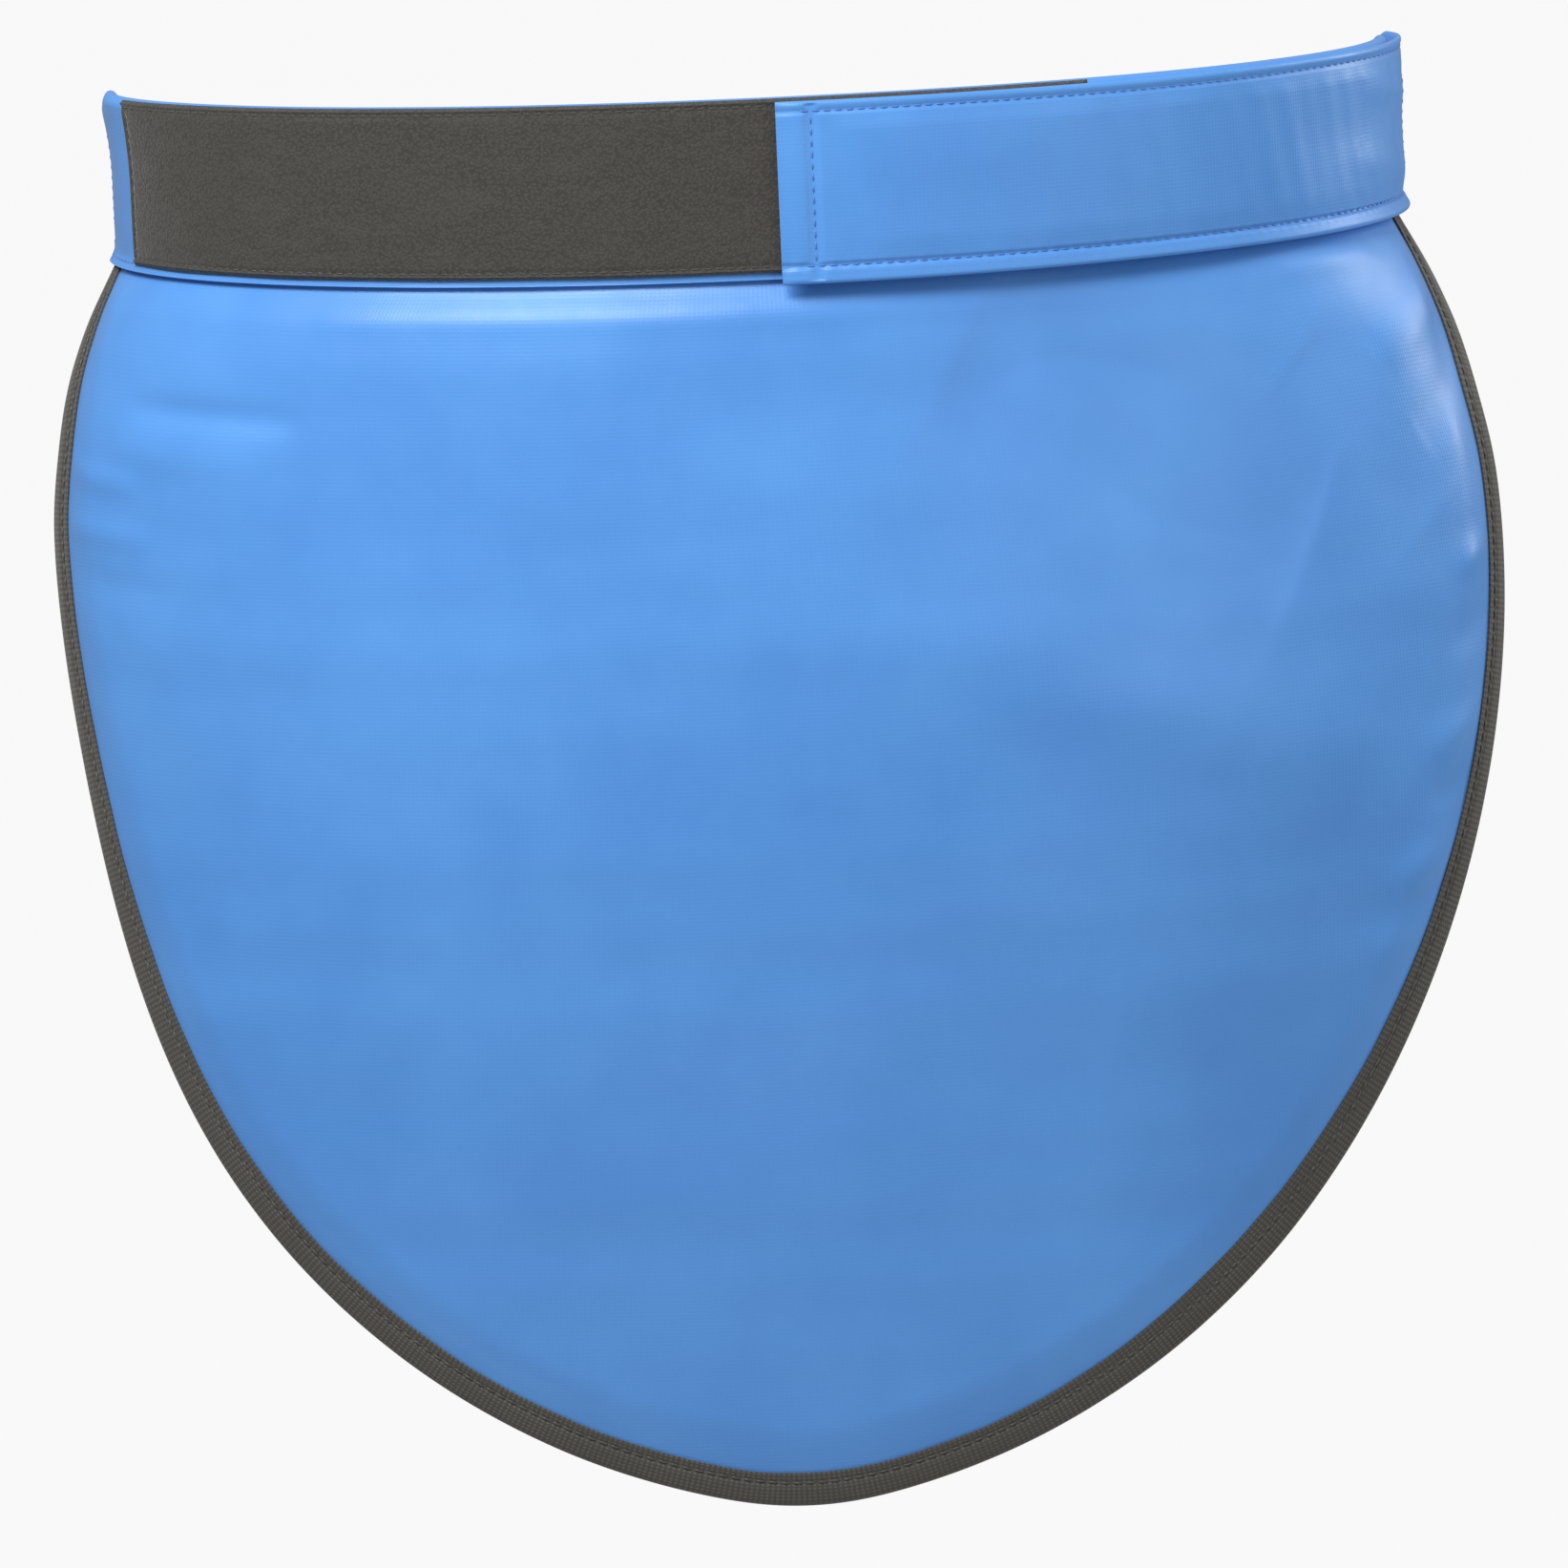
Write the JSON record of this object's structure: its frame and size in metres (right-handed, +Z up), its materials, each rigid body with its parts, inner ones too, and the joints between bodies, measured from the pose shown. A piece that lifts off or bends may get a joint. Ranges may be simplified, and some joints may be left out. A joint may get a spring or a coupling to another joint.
{
  "type": "groin protector",
  "caption": "Flexible layered groin shield with a rounded, bound lower edge, hung from a wrap-round waist belt with an elastic back and a hook-and-loop closure tab.",
  "frame": {"origin": "centre of the wearer's waist, inside the belt at its mid height at the front", "axes": "+Z up, the wearer faces -Y, +X to the right as seen from the front, which is the wearer's left side and the side of the closure tab"},
  "size_m": [0.4246, 0.2412, 0.4107],
  "materials": {
    "shell_fabric": "coated woven nylon, satin",
    "shielding_vinyl": "matte filled vinyl sheet",
    "binding_tape": "woven polyester braid",
    "dark_thread": "sewing thread",
    "blue_thread": "sewing thread",
    "webbing": "woven polypropylene webbing",
    "loop_pile": "brushed loop pile",
    "hook_tape": "hook tape",
    "woven_elastic": "ribbed woven elastic"
  },
  "bodies": {
    "shield": {"front_cover": "shell_fabric", "rear_cover": "shell_fabric", "front_core_sheet": "shielding_vinyl", "rear_core_sheet": "shielding_vinyl", "edge_binding": "binding_tape", "edge_binding_thread": "dark_thread", "waistband_casing": "shell_fabric", "waistband_webbing": "webbing", "waistband_thread": "blue_thread", "waistband_bartacks": "blue_thread", "strap_anchor_thread": "blue_thread", "loop_strip": "loop_pile", "loop_strip_thread": "dark_thread"},
    "strap": {"elastic_strap": "woven_elastic"},
    "tab": {"tab_casing": "shell_fabric", "tab_stiffener": "webbing", "hook_strip": "hook_tape", "tab_thread": "blue_thread", "tab_strap_thread": "blue_thread"}
  },
  "joints": [
    {"name": "strap_swing", "type": "hinge", "parent": "shield", "child": "strap", "pos_m": [-0.18428, 0.01045, 0], "axis": [0, 0, 1], "range_deg": [0, 36]},
    {"name": "tab_peel", "type": "hinge", "parent": "strap", "child": "tab", "pos_m": [0.1886, 0.01387, 0], "axis": [0, 0, 1], "range_deg": [0, 120]}
  ],
  "couplings": [
    {"joint": "strap_swing", "follows": "tab_peel", "ratio": 0.3}
  ]
}
